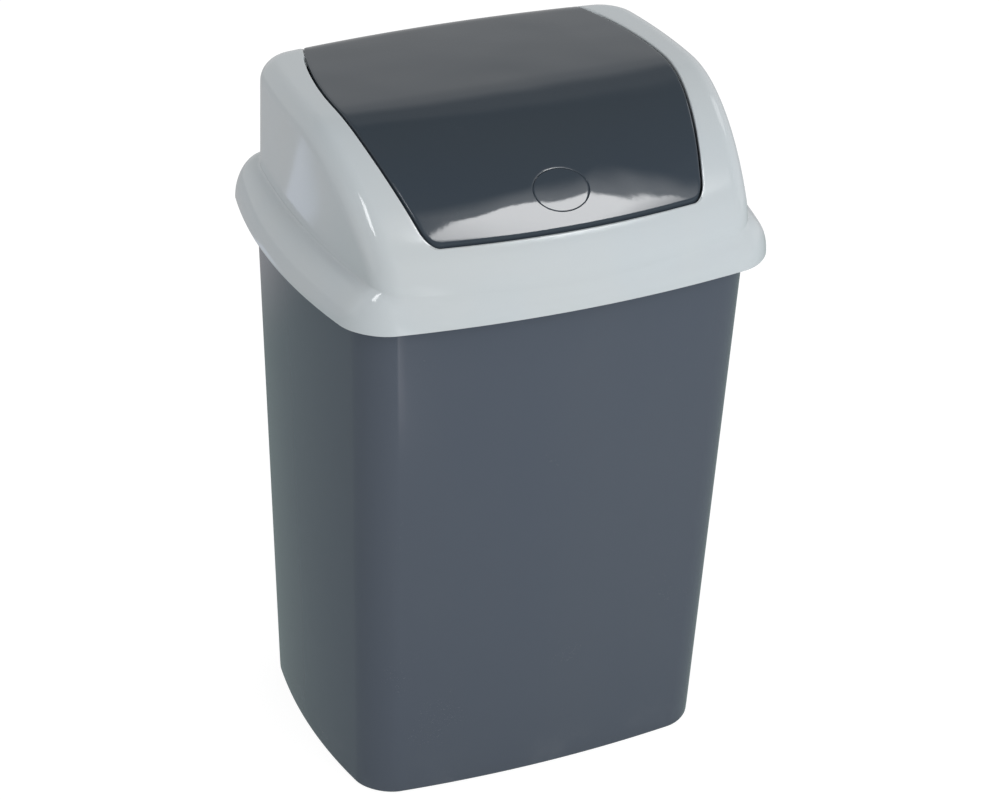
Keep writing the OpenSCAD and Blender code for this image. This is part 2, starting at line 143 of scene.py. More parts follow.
def meshPiece(name, points, faces, finish, body, sharp=None):
    # a mesh in millimetres becomes a piece that rides on a body; edges that turn more than sharp stay crisp
    mesh = bpy.data.meshes.new(name)
    mesh.from_pydata((np.asarray(points) * mm).tolist(), [], faces)
    work = bmesh.new()
    work.from_mesh(mesh)
    bmesh.ops.remove_doubles(work, verts=work.verts, dist=1e-7)
    bmesh.ops.recalc_face_normals(work, faces=work.faces)
    work.to_mesh(mesh)
    work.free()
    mesh.shade_smooth()
    if sharp:
        mesh.set_sharp_from_angle(angle=math.radians(sharp))
    mesh.materials.append(finish)
    piece = bpy.data.objects.new(name, mesh)
    bpy.context.scene.collection.objects.link(piece)
    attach(piece, body)
    return piece


class Parts:
    # several closed shapes gathered into one mesh
    def __init__(self):
        self.points, self.faces = [], []

    def add(self, points, faces):
        start = len(self.points)
        self.points += [tuple(p) for p in points]
        self.faces += [tuple(start + k for k in face) for face in faces]

    def prism(self, flat, place, thick):
        # a flat outline, laid out by place(u, z, t), with a thickness
        n = len(flat)
        self.add([place(u, z, t) for t in (-thick / 2, thick / 2) for u, z in flat],
                 [tuple(range(n)), tuple(range(2 * n - 1, n - 1, -1))]
                 + [(k, (k + 1) % n, n + (k + 1) % n, n + k) for k in range(n)])

    def turned(self, profile, centre, side, steps=64):
        # (radius, x) points turned about a line along X, closed on themselves or by caps on the line
        t = np.arange(steps) * 2 * math.pi / steps
        rings = [np.column_stack([np.full(steps, side * x),
                                  centre[0] + r * np.cos(t), centre[1] + r * np.sin(t)]) for r, x in profile]
        hollow = profile[0] == profile[-1]
        points = np.vstack(rings[:-1] if hollow else rings)
        count = len(rings) - 1 if hollow else len(rings)
        faces = stackFaces(count, steps, closedStack=hollow)
        if not hollow:
            ends = [[side * profile[k][1], *centre] for k in (0, -1)]
            faces += capFaces(0, steps, len(points)) + capFaces((count - 1) * steps, steps, len(points) + 1)
            points = np.vstack([points, ends])
        self.add(points, faces)


def stackFaces(ringCount, n, closedStack=False):
    # quads between rings of n points; a closed stack joins its last ring to its first
    faces = []
    for r in range(ringCount if closedStack else ringCount - 1):
        a, b = r * n, (r + 1) % ringCount * n
        faces += [(a + k, a + (k + 1) % n, b + (k + 1) % n, b + k) for k in range(n)]
    return faces


def capFaces(ring, n, centre):
    # triangles between a ring, given by the number of its first point, and a centre point
    return [(ring + k, ring + (k + 1) % n, centre) for k in range(n)]


def outline(a, b, r, counts):
    # a rounded rectangle, anticlockwise from the middle of its right side
    side, corner, front = counts
    q = [(a, (b - r) * j / side) for j in range(side)]
    for j in range(corner + 1):
        t = math.pi / 2 * j / corner
        q.append((a - r + r * math.cos(t), b - r + r * math.sin(t)))
    q = np.array(q + [((a - r) * (1 - j / front), b) for j in range(1, front + 1)])
    back = q[:0:-1]
    return np.vstack([q[:-1], back * (-1, 1), -q[:-1], back * (1, -1)])


def swollen(points, a, b, side, front):
    # the outline's corners are drawn in, which leaves its sides and front bulged
    x, y = points[:, 0], points[:, 1]
    return np.column_stack([x - side * x / a * (y / b) ** 2, y - front * y / b * (x / a) ** 2])


def arc(radius, start, end, steps):
    # offsets along an arc, for a rounded edge
    t = np.radians(np.linspace(start, end, steps))
    return zip(radius * np.cos(t), radius * np.sin(t))


def rounded(before, corner, after, steps=5):
    # points of a small rounded corner, for arrays of stations
    t = np.linspace(0, 1, steps)[:, None, None]
    return (1 - t) ** 2 * before + 2 * t * (1 - t) * corner + t ** 2 * after


bodyShape = {
    "footWide": 206.4, "footDeep": 155.4, "height": 300.0, "draft": 1.75, "corner": 17.0,
    "sideSwell": 8.0, "frontSwell": 6.5, "wall": 1.8, "floor": 2.2, "ringHigh": 4.0, "ringWide": 5.0,
    "rimOut": 3.2, "rimDeep": 5.0, "footEdge": 2.0, "fillet": 4.0, "lipEdge": 0.8, "capAt": 60.0,
    "counts": (20, 22, 24), "levels": 70, "insideLevels": 30,
}
bodyLook = {
    "cool": (0.079, 0.0945, 0.125, 1.0), "warm": (0.084, 0.099, 0.127, 1.0), "roughness": 0.15,
    "roughDrift": 0.04, "ior": 1.5, "sinkScale": 14.0, "sinkDeep": 0.35,
    "flowScale": 9.0, "flowStretch": (1.0, 1.0, 0.35), "peelScale": 300.0, "peelDeep": 0.002,
    "grainScale": 2600.0, "grainDeep": 0.0004, "scratchScale": 900.0, "scratchDeep": 0.0004,
    "scratchRough": 0.01, "dust": 0.004, "dustColour": (0.35, 0.37, 0.39, 1.0), "wear": 0.06, "wearTop": 0.03,
}
rise = math.tan(math.radians(bodyShape["draft"]))    # how far the wall leans out for each millimetre up
rimGrow = bodyShape["height"] * rise


def bodyOutline(grow):
    # the corners keep their radius up the wall, and grow with the rim
    s = bodyShape
    a, b = s["footWide"] / 2 + grow, s["footDeep"] / 2 + grow
    corner = max(s["corner"] + min(grow, 0) / 2, 2) + max(grow - rimGrow, 0)
    return swollen(outline(a, b, corner, s["counts"]), a, b, s["sideSwell"], s["frontSwell"])


def makeBody():
    s = bodyShape
    top, floorTop, ring = s["height"], s["ringHigh"] + s["floor"], s["ringWide"]
    underRim, bead, edge = top - s["rimDeep"], s["rimOut"] / 2, s["footEdge"]
    # how far the outline grows, and its height: from under the floor, up the outside, over the rim and down
    profile = [(-s["capAt"], s["ringHigh"]), (-ring - 6, s["ringHigh"]), (-ring - 1, s["ringHigh"]),
               (-ring, s["ringHigh"] - 1), (-ring, 0.8), (-ring + 0.3, 0.2), (-ring + 0.8, 0),
               (-edge - 0.6, 0)]
    profile += [(-edge + out, edge + up) for out, up in arc(edge, -90, 0, 9)]
    profile += [(z * rise, z) for z in np.linspace(edge, underRim - 0.8, s["levels"])[1:]]
    profile += [(underRim * rise + 0.25, underRim - 0.25)]
    for z0, low, high in ((underRim + bead, -80, 0), (top - bead, 0, 90)):
        profile += [(rimGrow + bead + out, z0 + up) for out, up in arc(bead, low, high, 10)]
    inner, lip = rimGrow - s["wall"], s["lipEdge"]
    profile += [(inner + lip + out, top - lip + up) for out, up in arc(lip, 90, 180, 6)]
    down = np.linspace(top - 2, floorTop + s["fillet"], s["insideLevels"])
    profile += [(z * rise - s["wall"], z) for z in down]
    profile += [(floorTop * rise - s["wall"] - s["fillet"] + out, floorTop + s["fillet"] + up)
                for out, up in arc(s["fillet"], 0, -90, 10)]
    profile += [(-12, floorTop), (-40, floorTop), (-s["capAt"], floorTop)]
    rings = [np.column_stack([p, np.full(len(p), z)]) for p, z in ((bodyOutline(g), z) for g, z in profile)]
    n = len(rings[0])
    points = np.vstack(rings + [[[0, 0, s["ringHigh"]]], [[0, 0, floorTop]]])
    faces = stackFaces(len(rings), n) + capFaces(0, n, len(points) - 2)
    faces += capFaces((len(rings) - 1) * n, n, len(points) - 1)
    piece = meshPiece("bin_shell", points, faces, mouldedPlastic("slate_plastic", bodyLook), "bin",
                      sharp=50)
    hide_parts("bin_body")


# the lid's outer surface is where lidDistance is 0, and it is negative inside
skirtShape = {
    "halfWide": 123.766, "halfDeep": 99.666, "foot": 290.0, "corner": 19.0, "sideSwell": 12.2,
    "frontSwell": 10.2, "shoulderHigh": 20.8, "shoulderIn": 16.25, "crease": 2.5, "creaseRise": 16.0,
}
hoodShape = {
    "top": 369.4, "sideX": 109.366, "sideCentre": 4.0, "sideR": 440.0, "backY": 86.266, "backR": 730.0,
    "draft": 0.4, "leanZ": 330.0, "corner": 18.0, "edge": 10.0, "topR": 1750.0, "browR": 95.0,
    "browTurn": 17.2, "faceR": 142.0, "faceTurn": 47.25, "chinR": 29.0, "frontCrown": 0.08,
    "backCrown": 0.04, "crownX": 75.0, "wall": 2.2, "browY": 0.5,
}
mouthShape = {
    "halfWide": 90.3, "sideR": 243.0, "front": 87.8, "backLand": 1.7, "corner": 7.0, "barrelY": 2.0,
    "lip": 9.0, "lipBack": 45.0, "lipFade": 20.0, "cheek": 30.0, "cheekReach": 32.0, "axleY": -14.0,
    "axleZ": 360.0, "edge": 1.0, "counts": (34, 16, 30), "steps": 130,
}


def direction(turn):
    # from straight up, turned towards the front
    return np.array([-math.sin(math.radians(turn)), math.cos(math.radians(turn))])


# centres of the three arcs of the lid's profile, as (y, z): each arc runs on smoothly from the one above
browC = np.array([hoodShape["browY"], hoodShape["top"] - hoodShape["browR"]])
faceC = browC + (hoodShape["browR"] - hoodShape["faceR"]) * direction(hoodShape["browTurn"])
chinC = faceC + (hoodShape["faceR"] - hoodShape["chinR"]) * direction(hoodShape["faceTurn"])


def meet(a, b, r):
    # the room inside both a and b, with their corner rounded to radius r
    return np.minimum(np.maximum(a, b), -r) + np.hypot(np.maximum(a + r, 0), np.maximum(b + r, 0))


def crown(x, y):
    # the profile is drawn together towards the sides, which bows the lid's front and back
    s = hoodShape
    return 1 + np.where(y < 0, s["frontCrown"], s["backCrown"]) * (x / s["crownX"]) ** 2


def profileDistance(y, z):
    s = hoodShape
    browAngle = np.degrees(np.arctan2(browC[0] - y, z - browC[1]))
    faceAngle = np.degrees(np.arctan2(faceC[0] - y, z - faceC[1]))
    top = z - s["top"] + (y - browC[0]) ** 2 / (2 * s["topR"])
    brow = np.hypot(y - browC[0], z - browC[1]) - s["browR"]
    face = np.hypot(y - faceC[0], z - faceC[1]) - s["faceR"]
    chin = np.where(z < chinC[1], chinC[0] - y, np.hypot(y - chinC[0], z - chinC[1])) - s["chinR"]
    lower = np.where(faceAngle < s["faceTurn"], face, chin)
    return np.where(y > browC[0], top, np.where(browAngle < s["browTurn"], brow, lower))


def hoodDistance(x, y, z):
    s = hoodShape
    lean = math.tan(math.radians(s["draft"])) * (z - s["leanZ"])
    side = np.abs(x) - s["sideX"] + (y - s["sideCentre"]) ** 2 / (2 * s["sideR"]) + lean
    back = y - s["backY"] + x * x / (2 * s["backR"]) + lean / 2
    return meet(meet(side, back, s["corner"]), profileDistance(y * crown(x, y), z), s["edge"])


def skirtDistance(x, y, z):
    s = skirtShape
    a, b = s["halfWide"], s["halfDeep"]
    u, v = np.abs(x), np.abs(y)
    for _ in range(8):
        u, v = (np.abs(x) / (1 - s["sideSwell"] / a * np.minimum(v / b, 1) ** 2),
                np.abs(y) / (1 - s["frontSwell"] / b * np.minimum(u / a, 1) ** 2))
    p, q = u - a + s["corner"], v - b + s["corner"]
    flat = np.minimum(np.maximum(p, q), 0) + np.hypot(np.maximum(p, 0), np.maximum(q, 0)) - s["corner"]
    h = np.clip((z - s["foot"]) / s["shoulderHigh"], 0, 1)
    inward = s["shoulderIn"] * (1 - np.sqrt(1 - h * h))
    return np.maximum(0.9 * (flat + inward), z - s["foot"] - s["shoulderHigh"])


def lidDistance(x, y, z):
    s = skirtShape
    crease = s["crease"] * np.clip((z - s["foot"]) / s["creaseRise"], 0.05, 1)
    return -meet(-skirtDistance(x, y, z), -hoodDistance(x, y, z), crease)


# between which heights, and lengths of a line, the lid's surface is looked for
searched = {"heights": (305.0, 375.0), "reach": (40.0, 180.0), "nearDisc": (-3.0, 3.0)}


def halve(outside, low, high, steps=36):
    # the value between low and high where outside() changes, for arrays
    for _ in range(steps):
        middle = (low + high) / 2
        out = outside(middle)
        low, high = np.where(out, low, middle), np.where(out, middle, high)
    return (low + high) / 2


def surfaceZ(x, y, deep=0.0):
    # the height of the hood's surface, or of the one that lies deep under it
    x, y = np.asarray(x, float), np.asarray(y, float)
    low, high = (np.full(x.shape, end) for end in searched["heights"])
    return halve(lambda z: hoodDistance(x, y, z) > -deep, low, high)


def onLid(points, deep=0.0):
    # points moved onto the lid's surface, along lines from the middle of the body's rim
    eye = np.array([0, 0, bodyShape["height"]])
    d = points - eye
    d = d / np.linalg.norm(d, axis=-1, keepdims=True)
    low, high = (np.full(d.shape[:-1], end) for end in searched["reach"])
    reach = halve(lambda t: lidDistance(*np.moveaxis(eye + t[..., None] * d, -1, 0)) > -deep, low, high)
    return eye + reach[..., None] * d


mouthBack = hoodShape["backY"] - mouthShape["backLand"]
mouthB, mouthY = (mouthShape["front"] + mouthBack) / 2, (mouthBack - mouthShape["front"]) / 2


def mouthHalf(y):
    # half the mouth's width, which is largest at the barrel's middle
    return mouthShape["halfWide"] - (y - mouthShape["barrelY"]) ** 2 / (2 * mouthShape["sideR"])


def mouthOutline(shrink, counts=None):
    s = mouthShape
    a, b = s["halfWide"] - shrink, mouthB - shrink
    p = outline(a, b, max(s["corner"] - shrink, 1), counts or s["counts"])
    y = p[:, 1] + mouthY
    x = p[:, 0] - p[:, 0] / a * (y - s["barrelY"]) ** 2 / (2 * s["sideR"])
    return np.column_stack([x, y / crown(x, y)])


def lipShare(y):
    # all of the turned-down lip in front, none at the back
    return 1 - np.clip((y - mouthShape["lipBack"]) / mouthShape["lipFade"], 0, 1)


def lipDepth(y):
    # the lip reaches down as cheeks beside the flap's axles
    s = mouthShape
    bulge = np.maximum(0, 1 - ((y - s["axleY"]) / s["cheekReach"]) ** 2)
    return lipShare(y) * (s["lip"] + (s["cheek"] - s["lip"]) * bulge)


hoodLook = {
    "cool": (0.553, 0.604, 0.634, 1.0), "warm": (0.572, 0.612, 0.628, 1.0), "roughness": 0.09,
    "roughDrift": 0.03, "ior": 1.5, "sinkScale": 18.0, "sinkDeep": 0.25,
    "flowScale": 11.0, "flowStretch": (1.0, 1.0, 0.5), "peelScale": 380.0, "peelDeep": 0.008,
    "grainScale": 2600.0, "grainDeep": 0.003, "scratchScale": 650.0, "scratchDeep": 0.003,
    "scratchRough": 0.05, "dust": 0.05, "dustColour": (0.42, 0.43, 0.42, 1.0), "wear": 0.0, "wearTop": 0.001,
}


def makeHood(finish):
    s, m, wall = skirtShape, mouthShape, hoodShape["wall"]
    foot = outline(s["halfWide"], s["halfDeep"], s["corner"], m["counts"])
    foot = swollen(foot, s["halfWide"], s["halfDeep"], s["sideSwell"], s["frontSwell"])
    foot = np.column_stack([foot, np.full(len(foot), s["foot"])])
    plan = mouthOutline(0)
    edge = np.column_stack([plan, surfaceZ(plan[:, 0], plan[:, 1])])
    past = mouthOutline(-wall)
    past = np.column_stack([past, surfaceZ(past[:, 0], past[:, 1], wall)])
    w = lipShare(edge[:, 1])[:, None]
    w = w * w * (3 - 2 * w)
    under = w * past + (1 - w) * onLid(edge, wall)
    out = under - edge
    drop = lipDepth(edge[:, 1])[:, None] * np.array([0, 0, 1.0])
    share = np.linspace(0, 1, m["steps"] + 1)[:, None, None]
    outer = onLid(foot + (edge - foot) * share)
    outer[0], outer[-1] = foot, edge
    inner = onLid(foot + (under - foot) * share[::2], wall)
    inner[-1] = under
    # the skirt's lower edge and the mouth's edge are rounded
    lipTip = edge + (1 - w) * out / 3 - drop
    lipBack = edge + (1 - w) * 2 * out / 3 + w * out * (1, 1, 0) - drop
    towards = lipTip - edge
    towards /= np.linalg.norm(towards, axis=1, keepdims=True)
    along = outer[-3] - edge
    along /= np.linalg.norm(along, axis=1, keepdims=True)
    mouthEdge = rounded(edge + along * m["edge"], edge, edge + towards * m["edge"], 7)
    deep = np.linspace(0, 1, 8)[1:-1, None, None]
    lipFace = edge + towards * m["edge"] + (lipTip - edge - towards * m["edge"]) * deep
    tip = rounded(lipTip * 0.75 + edge * 0.25, lipTip, (lipTip + lipBack) / 2, 3)
    footIn = foot + (inner[0] - foot) * 0.5
    footEdge = rounded(footIn, foot, outer[1] * 0.8 + foot * 0.2, 6)
    rings = [*footEdge, *[outer[k] for k in range(2, m["steps"] - 1)], *mouthEdge, *lipFace, *tip, lipBack,
             *[inner[k] for k in range(len(inner) - 1, -1, -1)]]
    faces = stackFaces(len(rings), len(foot), closedStack=True)
    piece = meshPiece("lid_shell", np.vstack(rings), faces, finish, "hood")
    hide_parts("lid_hood")


flapShape = {
    "gap": 1.3, "wall": 2.2, "flange": 8.0, "rearFlange": 4.0, "edge": 1.0, "frontEdge": 0.45,
    "frontFrom": 70.0, "frontFade": 10.0, "rings": 70, "stations": 384, "crowded": 1.15,
    "discWide": 14.5, "discHigh": 11.6, "discT": 1.8, "discY": -71.7, "hairline": 0.12,
    "hairEdge": ((0, 0.32), (0.03, 0.14), (0.1, 0.04)), "hairFace": 0.25, "seat": 1.2,
    "ribX": 34.0, "ribT": 1.6, "ribDeep": 5.0, "ribRun": 6.0, "ribSteps": 41, "axleR": 3.5, "axleLong": 6.5,
    "axleBreak": 0.8, "earR": 7.0, "earBreak": 0.4, "washerR": 5.0, "washerPlay": 0.3, "washerBreak": 0.2,
    "swing": 65.0,
}
flapLook = {
    "cool": (0.0415, 0.055, 0.072, 1.0), "warm": (0.0445, 0.057, 0.070, 1.0), "roughness": 0.04,
    "roughDrift": 0.015, "ior": 1.5, "sinkScale": 21.0, "sinkDeep": 0.8,
    "flowScale": 9.0, "flowStretch": (0.35, 1.0, 1.0), "peelScale": 300.0, "peelDeep": 0.006,
    "grainScale": 2600.0, "grainDeep": 0.0015, "scratchScale": 620.0, "scratchDeep": 0.004,
    "scratchRough": 0.05, "dust": 0.04, "dustColour": (0.3, 0.32, 0.33, 1.0), "wear": 0.0, "wearTop": 0.001,
}
# the disc's tilt, its middle and the line square to its face
discTilt = math.asin((faceC[0] - flapShape["discY"]) / hoodShape["faceR"])
discAt = np.array([0, flapShape["discY"], faceC[1] + hoodShape["faceR"] * math.cos(discTilt)])
discAxis = np.array([0, -math.sin(discTilt), math.cos(discTilt)])
earFace = mouthHalf(mouthShape["axleY"] - flapShape["earR"]) - flapShape["gap"]


def discPoint(grow, angles, share=1.0):
    # points on the disc's oval, square to the flap's face at its centre
    wide, high = (flapShape["discWide"] + grow) * share, (flapShape["discHigh"] + grow) * share
    reach = wide * high / np.hypot(high * np.sin(angles), wide * np.cos(angles))
    x, v = reach * np.sin(angles), reach * np.cos(angles)
    return discAt + np.column_stack([x, v * math.cos(discTilt), v * math.sin(discTilt)])


def discSkin(grow, angles, share=1.0):
    # the same oval, moved along the disc's axis onto the flap's surface
    p = discPoint(grow, angles, share)
    low, high = (np.full(len(p), end) for end in searched["nearDisc"])
    reach = halve(lambda t: hoodDistance(*(p + t[:, None] * discAxis).T) > 0, low, high)
    return p + reach[:, None] * discAxis


def onFlap(points, deep=0.0):
    # points in plan, raised onto the flap's face or onto its underside
    return np.column_stack([points[:, :2], surfaceZ(points[:, 0], points[:, 1], deep)])


def evenly(points, centre, n):
    # n points round a closed outline, spread partly by length and partly by angle from a centre
    closed = np.vstack([points, points[:1]])
    length = np.concatenate([[0], np.cumsum(np.linalg.norm(np.diff(closed, axis=0), axis=1))])
    angle = np.unwrap(np.arctan2(closed[:, 1] - centre[1], closed[:, 0] - centre[0]))
    measure = 0.5 * length / length[-1] + 0.5 * (angle - angle[0]) / (angle[-1] - angle[0])
    at = np.arange(n) / n
    return np.column_stack([np.interp(at, measure, closed[:, k]) for k in range(2)])


def makeFlap(finish):
    s = flapShape
    fine, n, centre = (300, 120, 300), s["stations"], discAt[:2]
    rim = evenly(mouthOutline(s["gap"], fine), centre, n)
    tuck = evenly(mouthOutline(s["gap"] + s["wall"], fine), centre, n)
    # the front edge is crisper than the others
    front = np.clip((-rim[:, 1:] - s["frontFrom"]) / s["frontFade"], 0, 1)
    edge = s["edge"] + (s["frontEdge"] - s["edge"]) * front * front * (3 - 2 * front)
    rimIn = rim + (tuck - rim) * edge / s["wall"]
    # the disc's oval is entered at the same bearings as the rim
    bearing = np.arctan2(rimIn[:, 0] - centre[0], (rimIn[:, 1] - centre[1]) / math.cos(discTilt))
    hole = discPoint(s["hairline"], bearing)
    holeEdge = [discSkin(s["hairline"] + out, bearing) - discAxis * down for out, down in s["hairEdge"]]
    lipHole = discSkin(s["hairline"] + s["hairFace"], bearing)
    surface = [onFlap(lipHole[:, :2] + (rimIn - lipHole[:, :2]) * share)
               for share in np.linspace(0, 1, s["rings"]) ** s["crowded"]]
    top, down = onFlap(rim), np.array([0, 0, 1.0])
    flange = (lipShare(rim[:, 1:]) * s["flange"] + (1 - lipShare(rim[:, 1:])) * s["rearFlange"]) * down
    edgeRound = rounded(surface[-1], top, top - down * edge, 9)
    foot = top - flange
    tuckIn = (tuck - rim) / np.linalg.norm(tuck - rim, axis=1, keepdims=True)
    low = down * 0.5
    side = [top - down * edge + (down * edge - flange + low) * t for t in np.linspace(0, 1, 5)[1:]]
    footIn = foot + np.column_stack([tuckIn * 0.5, foot[:, 2] * 0])
    tuckFoot = np.column_stack([tuck, foot[:, 2]])
    tuckTop = onFlap(tuck, s["wall"])
    # the underside runs in to a boss, which is the floor of the disc's seat
    boss = discPoint(2, bearing)
    seatTop, seatFoot = discAxis * s["discT"], discAxis * (s["discT"] + s["seat"])
    under = [onFlap(boss + (tuckTop - boss) * t, s["wall"]) for t in np.linspace(1, 0, 30)]
    rings = [hole - seatTop, *holeEdge, *surface, *edgeRound[1:], *side, footIn, tuckFoot, *under,
             boss - seatFoot, discPoint(-4, bearing) - seatFoot]
    points = np.vstack(rings + [[discAt - seatTop], [discAt - seatFoot]])
    faces = stackFaces(len(rings), n) + capFaces(0, n, len(points) - 2)
    faces += capFaces((len(rings) - 1) * n, n, len(points) - 1)
    piece = meshPiece("flap_shell", points, faces, finish, "flap", sharp=60)
    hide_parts("swing_flap")


def makeFlapFittings(finish):
    # the ribs under the flap, and the ears, washers and stub axles at its sides
    s, m = flapShape, mouthShape
    parts = Parts()
    front = -m["front"] / crown(s["ribX"], -1) + s["gap"] + s["wall"] / 2
    back = mouthBack / crown(s["ribX"], 1) - s["gap"] - s["wall"] / 2
    y = np.linspace(front, back, s["ribSteps"])
    z = surfaceZ(np.full(len(y), s["ribX"]), y, s["wall"] / 2)
    deep = s["wall"] / 2 + s["ribDeep"] * np.clip(np.minimum(y - front, back - y) / s["ribRun"], 0.2, 1)
    flat = [*zip(y, z), *zip(y[::-1], (z - deep)[::-1])]
    for side in (-1, 1):
        parts.prism(flat, lambda u, v, t: (side * s["ribX"] + t, u, v), s["ribT"])
        axle, wall = (m["axleY"], m["axleZ"]), s["wall"]
        washer, worn = mouthHalf(m["axleY"] - s["washerR"]) - s["washerPlay"], s["washerBreak"]
        tip, ear, taper = earFace + s["axleLong"], s["earBreak"], s["axleBreak"]
        parts.turned([(s["earR"] - ear, earFace - wall), (s["earR"], earFace - wall + ear),
                      (s["earR"], earFace - 0.3), (s["earR"] - 0.3, earFace),
                      (s["washerR"], earFace), (s["washerR"], washer - worn), (s["washerR"] - worn, washer),
                      (s["axleR"], washer), (s["axleR"], tip - taper), (s["axleR"] - taper, tip)], axle, side)
    meshPiece("flap_fittings", parts.points, parts.faces, finish, "flap", sharp=35)


def makeDisc(finish):
    # the inset stands just off its seat, and its face carries on the flap's
    s, n = flapShape, 144
    angles = np.arange(n) * 2 * math.pi / n
    seat = discAxis * (s["discT"] - 0.01)
    edge = [discSkin(-inward, angles) - discAxis * down for inward, down in s["hairEdge"]]
    face = [discSkin(0, angles, t) for t in (0.95, 0.88, *np.linspace(0.8, 0.1, 8))]
    rings = [discPoint(-0.1, angles) - seat, *edge, discSkin(-s["hairFace"], angles), *face]
    points = np.vstack(rings + [[discAt - seat], discSkin(0, angles[:1], 1e-4)])
    faces = stackFaces(len(rings), n) + capFaces(0, n, len(points) - 2)
    faces += capFaces((len(rings) - 1) * n, n, len(points) - 1)
    piece = meshPiece("disc_inset", points, faces, finish, "flap", sharp=60)
    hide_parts("push_disc")


fittingShape = {
    "ribT": 2.0, "ribReach": 3.0, "ribGrip": 6.0, "ribDeep": 4.0, "fingerDeep": 8.0, "fingerT": 2.5,
    "fingerGap": 0.6, "ribSideY": 38.0, "ribFrontX": 58.0, "ledgeX": 38.0, "ledgeWide": 16.0,
    "ledgeIn": 8.0, "ledgeT": 2.5, "ledgeGap": 0.3, "bossR": 7.5, "bossLong": 4.0, "boreR": 3.6,
    "pegR": 2.0, "pegPlay": 0.6, "edgeBack": 15.5,
}


def sideRib(inside, face):
    # a rib beside the crease: its foot sits on the rim, and its grip is in the hood's wall
    s, top, wall = fittingShape, bodyShape["height"], hoodShape["wall"]
    neck, grip = face - wall - 1, skirtShape["foot"] + skirtShape["shoulderHigh"] + 4
    tip, deep = inside - s["fingerGap"], s["ribDeep"]
    return [(tip - s["fingerT"], top - s["fingerDeep"]), (tip, top - s["fingerDeep"]), (tip, top),
            (inside + s["ribReach"], top), (inside + s["ribReach"], top + 2.5), (neck, top + 5),
            (neck, grip - 1), (face - wall / 2, grip), (face - wall / 2, grip + s["ribGrip"]),
            (neck - deep, grip + 1), (neck - deep, top - 2)]


def frontRib(inside, face):
    s, top, wall = fittingShape, bodyShape["height"], hoodShape["wall"]
    tip = inside - s["fingerGap"]
    return [(tip - s["fingerT"], top - s["fingerDeep"]), (tip, top - s["fingerDeep"]), (tip, top),
            (inside + s["ribReach"], top), (inside + s["ribReach"], top + 2.5), (face - wall / 2, top + 4),
            (face - wall / 2, top + 4 + s["ribGrip"]), (tip - s["fingerT"], top + 6)]


def makeLidFittings(finish):
    # the ribs that centre the lid on the rim, the rest ledges, the axles' sockets and the stop pegs
    s, h, b, m = fittingShape, hoodShape, bodyShape, mouthShape
    parts = Parts()
    grow = (b["height"] - s["fingerDeep"]) * rise - b["wall"]
    halfWide, halfDeep = b["footWide"] / 2 + grow, b["footDeep"] / 2 + grow
    wallX = halfWide - b["sideSwell"] * ((s["ribSideY"] + s["ribT"]) / halfDeep) ** 2
    wallY = halfDeep - b["frontSwell"] * ((s["ribFrontX"] + s["ribT"]) / halfWide) ** 2
    faceX = h["sideX"] - (s["ribSideY"] + h["sideCentre"]) ** 2 / (2 * h["sideR"])
    backFace = h["backY"] - s["ribFrontX"] ** 2 / (2 * h["backR"])
    frontFace = (h["chinR"] - chinC[0]) / float(crown(s["ribFrontX"], -1))
    for side in (-1, 1):
        for end in (-1, 1):
            parts.prism(sideRib(wallX, faceX),
                        lambda u, v, t: (side * u, end * s["ribSideY"] + t, v), s["ribT"])
        parts.prism(sideRib(wallY, backFace), lambda u, v, t: (side * s["ribFrontX"] + t, u, v), s["ribT"])
        parts.prism(frontRib(wallY, frontFace),
                    lambda u, v, t: (side * s["ribFrontX"] + t, -u, v), s["ribT"])
        ledgeWall = h["backY"] - s["ledgeX"] ** 2 / (2 * h["backR"]) - h["wall"] / 2 - 1
        y = (mouthBack - flapShape["gap"]) / float(crown(s["ledgeX"], 1))
        z = float(surfaceZ(s["ledgeX"], y)) - flapShape["rearFlange"] - s["ledgeGap"]
        ledge = [(ledgeWall - s["ledgeIn"], z - s["ledgeT"]), (ledgeWall, z - s["ledgeT"]), (ledgeWall, z),
                 (ledgeWall - s["ledgeIn"], z)]
        parts.prism(ledge, lambda u, v, t: (side * s["ledgeX"] + t, u, v), s["ledgeWide"])
        cheek = mouthHalf(m["axleY"])
        near, far = cheek + h["wall"] - 1, cheek + h["wall"] - 1 + s["bossLong"]
        socket = [(s["boreR"], near), (s["bossR"], near), (s["bossR"], far - 0.5), (s["bossR"] - 0.5, far),
                  (s["boreR"] + 0.4, far), (s["boreR"], far - 0.4), (s["boreR"], near)]
        parts.turned(socket, (m["axleY"], m["axleZ"]), side)
        # the peg stands where the flange's edge meets it at the end of the swing
        back = float(surfaceZ(earFace, m["axleY"] - s["edgeBack"])) - flapShape["flange"] - m["axleZ"]
        reach = math.hypot(s["edgeBack"], back)
        turn = (math.atan2(back, -s["edgeBack"]) + math.radians(flapShape["swing"])
                + math.asin((s["pegR"] + s["pegPlay"]) / reach))
        peg = (m["axleY"] + reach * math.cos(turn), m["axleZ"] + reach * math.sin(turn))
        start, end = earFace - flapShape["wall"] - 1, cheek + 1
        parts.turned([(s["pegR"] - 0.5, start), (s["pegR"], start + 0.5), (s["pegR"], end)], peg, side, 40)
    meshPiece("lid_fittings", parts.points, parts.faces, finish, "hood", sharp=35)


makeBody()
print("swing bin: body made")
hoodPlastic = mouldedPlastic("pale_plastic", hoodLook)
makeHood(hoodPlastic)
makeLidFittings(hoodPlastic)
print("swing bin: lid made")
flapPlastic = mouldedPlastic("dark_plastic", flapLook)
makeFlap(flapPlastic)
makeFlapFittings(flapPlastic)
makeDisc(flapPlastic)
print("swing bin: flap made")

